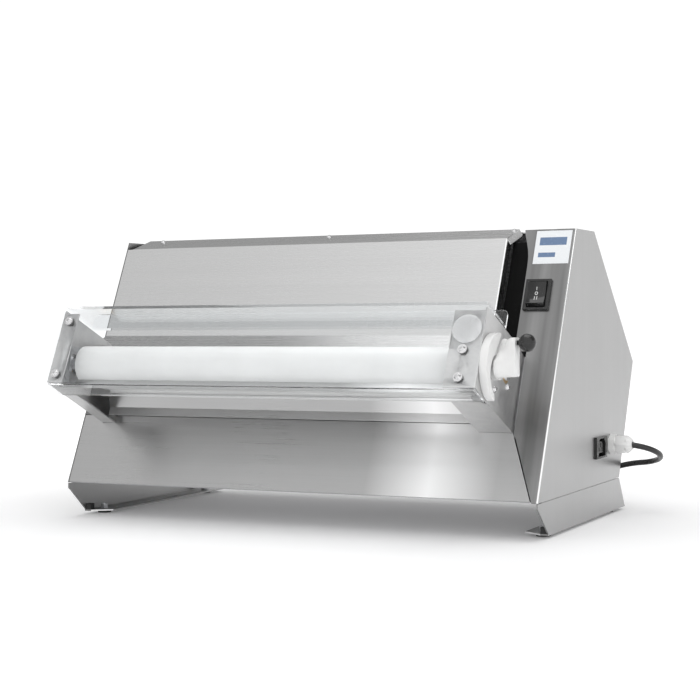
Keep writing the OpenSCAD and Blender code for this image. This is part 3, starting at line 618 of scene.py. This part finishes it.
def make_plug():
    """Moulded two-pin plug with grip ribs and a ribbed strain relief, along +X at the end of the cord."""
    start = own(COIL[0] + TAIL, COIL[1] + COIL_R, PLUG_Z)
    to_x = along_x(start)
    bm = bmesh.new()
    relief = [(0.6, 0), (0.6, 4.7)]
    for k in range(6):
        at, r = 2 + k * 4, 5 + k * 0.4
        relief += [(at, r), (at + 2.4, r + 0.3), (at + 2.5, r - 0.9), (at + 3.9, r - 0.8)]
    relief += [(26, 7), (27, 0)]
    lathe(bm, relief, 32, to_x)
    body = [
        (26, 0), (26, 8), (27.5, 10.2), (34, 13.6), (39, 16.6), (41, 17.4), (56.5, 17.6), (57.6, 17),
        (58, 15.8), (58, 0),
    ]

    def grip(angle, dist):
        deep = 0.055 if 29 < dist < 50 else 0
        return 1 - deep * (0.5 + 0.5 * math.cos(angle * 16)) * (abs(math.sin(angle)) ** 2)

    lathe(bm, body, 96, to_x, grip)
    obj = mesh_piece("plug_body", bm, "machine", MATERIALS["black_satin"], smooth_angle=50)
    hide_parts("mains_plug")
    pins = bmesh.new()
    for side in (-9.5, 9.5):
        at = to_x @ Matrix.Translation((0, side, 0))
        lathe(pins, [(56, 0), (56, 2.4), (75.4, 2.4), (76.4, 1.9), (76.8, 1.1), (76.9, 0)], 24, at)
    pin = mesh_piece("plug_pins", pins, "machine", MATERIALS["steel_bright"], smooth_angle=50)
    pin.parent = obj
    return obj


def make_gland():
    """The gland's dome nut: flats at its root, then ribs that close on the cord."""
    low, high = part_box("gland_nut")
    root = Vector((low.x, (low.y + high.y) / 2, (low.z + high.z) / 2))
    to_x = along_x(root)
    length = (high.x - low.x) / MM
    bore = CORD_D / 2 + 0.25
    profile = [
        (0, 9), (0, 13.2), (1.2, 13.7), (12, 13.7), (13.4, 13.2), (15.5, 12.6), (18, 11.3), (20.2, 9.4),
        (length - 0.7, 7.9), (length, 7.3), (length, bore), (length - 6, bore),
    ]

    def ribs(angle, dist):
        if dist <= 13.4:
            flat = abs((angle / (math.pi / 3)) % 1 - 0.5) * math.pi / 3
            return min(1.0, math.cos(math.pi / 6) / math.cos(math.pi / 6 - flat) * 1.02)
        if dist < length - 1:
            return 0.96 + 0.04 * math.cos(angle * 12)
        return 1

    bm = bmesh.new()
    lathe(bm, profile, 144, to_x, ribs)
    obj = mesh_piece("gland_dome", bm, "machine", MATERIALS["light_nylon"], smooth_angle=30)
    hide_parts("gland_nut")
    return obj


# ---------------------------------------------------------------- lever of the thickness adjuster
# The adjuster's axis in the leaned frame, the lever's foot along x, and its boss's start and radius.
PIVOT = (-105.64, 136.06)
HUB_X = 314.9
BOSS_X, BOSS_R, BOSS_LONG = 307.4, 15, 8
# Outlines of the lever's foot and of its end, from the axis, and the point they are measured from.
HUB_FOOT = [(13, 38), (-2, 25), (-14, 14), (-23, 9), (-25, 1), (-23.5, -7), (-16, -12), (10, -12)]
HUB_END = [(9, 36.9), (-9, 36.9), (-9, -10.9), (9, -10.9)]
HUB_MIDDLE = Vector((-1, 6))
# Along the lever: distance from the foot, share of the end's outline, and inset.
HUB_SECTIONS = [
    (0, 0, 1.2), (1, 0, 0.2), (3.5, 0.02, 0), (7, 0.2, 0), (10.5, 0.55, 0), (14, 0.86, 0), (17, 1, 0),
    (21.4, 1, 0), (22.5, 1, 0.5), (23.1, 1, 1.6),
]
HUB_SIDES = 96


def reach(outline, angle):
    """Distance from the lever's middle to a closed outline in the direction of angle."""
    step = Vector((math.cos(angle), math.sin(angle)))
    best = 0
    for a, b in zip(outline, outline[1:] + outline[:1]):
        side = Vector(b) - Vector(a)
        across = side.x * step.y - side.y * step.x
        if abs(across) < 1e-9:
            continue
        off = Vector(a) - HUB_MIDDLE
        dist = (side.x * off.y - side.y * off.x) / across
        part = (step.x * off.y - step.y * off.x) / across
        if dist > 0 and -1e-6 <= part <= 1 + 1e-6:
            best = max(best, dist)
    return best


def rounded_reach(outline, angle):
    """The same distance with the outline's corners rounded."""
    return sum(reach(outline, angle + math.radians(d)) for d in (-3, 0, 3)) / 3


def make_hub():
    """The lever: a broad foot against the index plate that draws in to a rounded block."""
    pivot = leaned(0, *PIVOT)
    bm = bmesh.new()
    rings = []
    for dist, share, inset in HUB_SECTIONS:
        ring = []
        for k in range(HUB_SIDES):
            a = math.tau * k / HUB_SIDES
            foot, end = rounded_reach(HUB_FOOT, a), rounded_reach(HUB_END, a)
            r = foot + (end - foot) * share - inset
            y, z = HUB_MIDDLE.x + r * math.cos(a), HUB_MIDDLE.y + r * math.sin(a)
            ring.append(bm.verts.new(((HUB_X + dist + SHIFT.x) * MM, y * MM + pivot.y, z * MM + pivot.z)))
        rings.append(ring)
    for low, high in zip(rings, rings[1:]):
        for k in range(HUB_SIDES):
            n = (k + 1) % HUB_SIDES
            bm.faces.new((low[k], low[n], high[n], high[k]))
    bm.faces.new(rings[0][::-1])
    bm.faces.new(rings[-1])
    boss = along_x(Vector(((BOSS_X + SHIFT.x) * MM, pivot.y, pivot.z)))
    lathe(bm, [(0, 0), (0, BOSS_R), (BOSS_LONG, BOSS_R), (BOSS_LONG, 0)], 64, boss)
    obj = mesh_piece("adjuster_lever", bm, "adjuster", MATERIALS["white_pe"], smooth_angle=40)
    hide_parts("adjuster_hub")


GLAND = make_gland()
make_hub()
make_cord(make_plug())


# ---------------------------------------------------------------- marks on the rocker
ROCKER_AT = (310.5, 285.3)
ROCKER_Y = 1
FACE_R, FACE_Y = 36, -43
MARK_PROUD = 0.15
MARK_WIDE = 0.8


def rocker_face(x, s):
    """A point on the rocker's hollow face, x and s from its middle."""
    y = ROCKER_Y + FACE_Y + math.sqrt(FACE_R**2 - s**2) - MARK_PROUD
    return leaned(ROCKER_AT[0] + x, y, ROCKER_AT[1] + s)


def mark_ribbon(bm, points, width, closed=False):
    """A flat stroke of that width through points on the rocker's face."""
    n = len(points)
    rows = []
    for i, (x, s) in enumerate(points):
        a = points[(i - 1) % n] if closed or i else points[i]
        b = points[(i + 1) % n] if closed or i < n - 1 else points[i]
        d = Vector((b[0] - a[0], b[1] - a[1])).normalized() * width / 2
        rows.append([bm.verts.new(rocker_face(x + k * d.y, s - k * d.x)) for k in (-1, 1)])
    for i in range(n if closed else n - 1):
        j = (i + 1) % n
        bm.faces.new((rows[i][0], rows[i][1], rows[j][1], rows[j][0]))


def make_marks():
    bm = bmesh.new()
    mark_ribbon(bm, [(0, 4.4 + 0.5 * k) for k in range(10)], MARK_WIDE)
    ring = [(1.7 * math.cos(math.tau * k / 24), 2.1 * math.sin(math.tau * k / 24)) for k in range(24)]
    mark_ribbon(bm, ring, MARK_WIDE, closed=True)
    for x in (-1.6, 1.6):
        mark_ribbon(bm, [(x, -4.3 - 0.5 * k) for k in range(12)], MARK_WIDE)
    for face in list(bm.faces):
        face.normal_update()
    thick = bmesh.ops.extrude_face_region(bm, geom=list(bm.faces))
    moved = [g for g in thick["geom"] if isinstance(g, bmesh.types.BMVert)]
    inward = (leaned(0, 1, 0) - leaned(0, 0, 0)).normalized() * 0.3 * MM
    bmesh.ops.translate(bm, verts=moved, vec=inward)
    ink = Look("mark_white", (0.75, 0.75, 0.74), 0.45)
    ink.tint(ink.spread(ink.noise((500, 500, 500)), 0, 1), (0.68, 0.68, 0.67), (0.8, 0.8, 0.79))
    obj = mesh_piece("rocker_marks", bm, "rocker_key", ink.material)


make_marks()


# ---------------------------------------------------------------- floor and light
def make_floor():
    """A pale floor that glows: a faint painted light lifts the shade under the machine, and the glow grows
    into the backdrop away from it.
    """
    bm = bmesh.new()
    bmesh.ops.create_circle(bm, cap_ends=True, segments=96, radius=6)
    data = bpy.data.meshes.new("floor")
    bm.to_mesh(data)
    bm.free()
    look = Look("floor_white", (0.93, 0.93, 0.935), 0.9)
    look.set("Specular IOR Level", 0.1)
    look.tint(look.spread(look.noise((1.5, 1.5, 1.5)), 0, 1), (0.925, 0.925, 0.93), (0.935, 0.935, 0.94))
    length = look.tree.nodes.new("ShaderNodeVectorMath")
    length.operation = "LENGTH"
    look.tree.links.new(look.place, length.inputs[0])
    # painted light: the floor glows, faintly at the machine and more towards the backdrop
    look.set("Emission Color", (1, 1, 1, 1))
    look.link(look.spread(length.outputs["Value"], 0.12, 0.4, 0.5, 1.6), "Emission Strength")
    data.materials.append(look.material)
    floor = bpy.data.objects.new("floor", data)
    scene.collection.objects.link(floor)


def make_world():
    """A white room: brighter to the front right, with a darker ceiling behind that the steel mirrors."""
    world = bpy.data.worlds.new("studio")
    scene.world = world
    world.use_nodes = True
    nodes, links = world.node_tree.nodes, world.node_tree.links
    way = nodes.new("ShaderNodeTexCoord").outputs["Generated"]
    split = nodes.new("ShaderNodeSeparateXYZ")
    links.new(way, split.inputs[0])

    def spread(out, start, end, low, high):
        m = nodes.new("ShaderNodeMapRange")
        m.interpolation_type = "SMOOTHSTEP"
        for name, value in (("From Min", start), ("From Max", end), ("To Min", low), ("To Max", high)):
            m.inputs[name].default_value = value
        links.new(out, m.inputs["Value"])
        return m.outputs["Result"]

    def mix(factor, low, high):
        m = nodes.new("ShaderNodeMix")
        for socket, value in ((m.inputs["Factor"], factor), (m.inputs[2], low), (m.inputs[3], high)):
            links.new(value, socket)
        return m.outputs[0]

    front = spread(split.outputs["X"], -0.65, -0.2, 0.8, 1.15)
    behind = spread(split.outputs["Z"], 0.24, 0.42, 1.08, 0.34)
    level = mix(spread(split.outputs["Y"], -0.25, 0.2, 0, 1), front, behind)
    back = nodes["Background"]
    links.new(level, back.inputs["Strength"])
    back.inputs["Color"].default_value = (1, 1, 1, 1)


def area_light(name, place, aim, size, power):
    data = bpy.data.lights.new(name, "AREA")
    data.shape = "RECTANGLE"
    data.size, data.size_y = size
    data.energy = power
    obj = bpy.data.objects.new(name, data)
    obj.location = place
    obj.rotation_euler = (Vector(aim) - Vector(place)).to_track_quat("-Z", "Y").to_euler()
    scene.collection.objects.link(obj)


make_floor()
make_world()
area_light("softbox_top", (0.1, 0.3, 2.6), (0, 0, 0.1), (2.4, 2.0), 24)
scene.view_settings.view_transform = "Standard"
scene.view_settings.look = "None"
